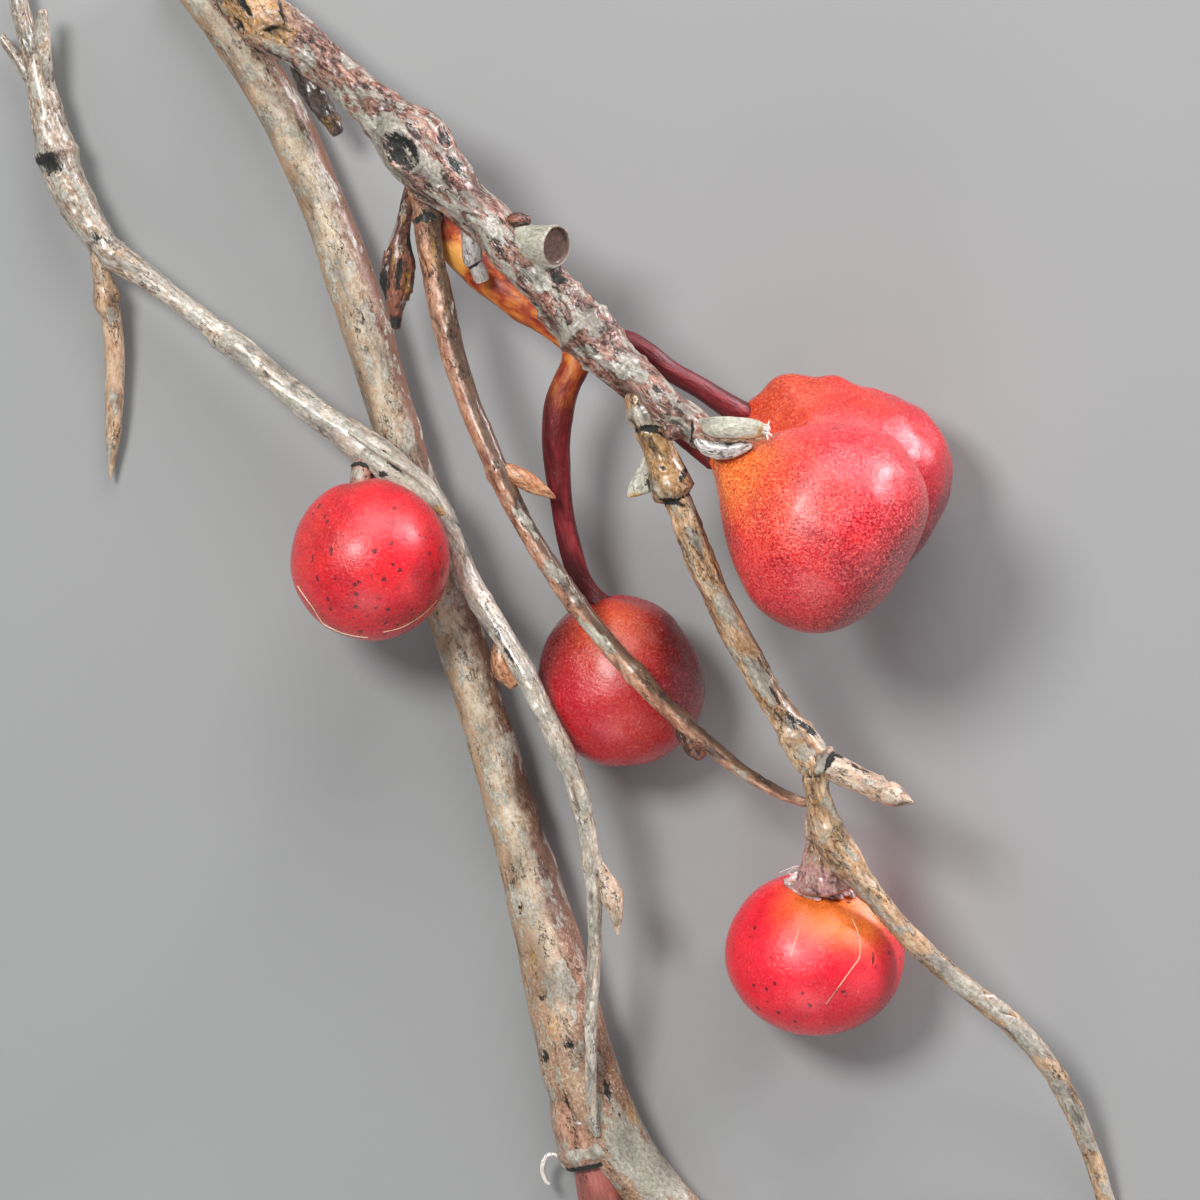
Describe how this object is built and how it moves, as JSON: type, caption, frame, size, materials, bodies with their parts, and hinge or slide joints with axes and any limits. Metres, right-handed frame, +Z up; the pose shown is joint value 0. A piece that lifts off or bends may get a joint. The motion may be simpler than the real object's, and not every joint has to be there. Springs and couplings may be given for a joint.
{
  "type": "rose hip sprig",
  "caption": "Cut woody sprig lying flat, with crooked lichen-grey twigs, buds, a thorn and pruned spurs, carrying round red hips singly and in a cluster.",
  "frame": {"origin": "middle of the footprint, on the surface that the sprig lies on", "axes": "+Z up from the surface, +Y along the stems towards their upper ends, +X to the right of the sprig seen from above"},
  "size_m": [0.114, 0.133, 0.0347],
  "materials": {
    "pale_bark": "smooth, pale beige-grey bark with red-brown patches",
    "grey_bark": "rough grey bark with lichen, ridges and red-brown streaks",
    "brown_bark": "thin brown bark with ochre streaks",
    "golden_bark": "golden-brown bark with grey flecks",
    "dark_wood": "dark, dry, cracked wood",
    "red_brown_wood": "red-brown inner wood",
    "stalk_skin": "smooth, waxy, dark red stalk, orange at its foot",
    "hip_skin": "waxy red skin with an orange blush, dark specks and a soft sheen"
  },
  "bodies": {
    "root": {"main_stem": "pale_bark", "cut_stub": "red_brown_wood", "knotty_twig": "grey_bark", "whip_twig": "brown_bark", "fruiting_twig": "golden_bark", "side_shoot": "grey_bark", "pruned_spur": "dark_wood", "dark_stub": "dark_wood", "withered_bud": "dark_wood", "pegged_spur": "grey_bark", "whip_bud": "golden_bark", "whip_spur": "dark_wood", "end_spur": "pale_bark", "end_bud": "golden_bark", "collar_bract": "grey_bark", "side_thorn": "golden_bark", "upper_twiglet": "pale_bark", "outer_twiglet": "pale_bark", "shoot_tip": "grey_bark", "side_bud": "brown_bark", "knot_bud_1": "dark_wood", "knot_bud_2": "dark_wood", "knot_bud_3": "dark_wood", "hip_left": "hip_skin", "hip_centre": "hip_skin", "hip_front": "hip_skin", "hip_back": "hip_skin", "hip_lower": "hip_skin", "cluster_stalk": "stalk_skin", "left_stalk": "red_brown_wood", "lower_stalk": "red_brown_wood"}
  },
  "joints": []
}
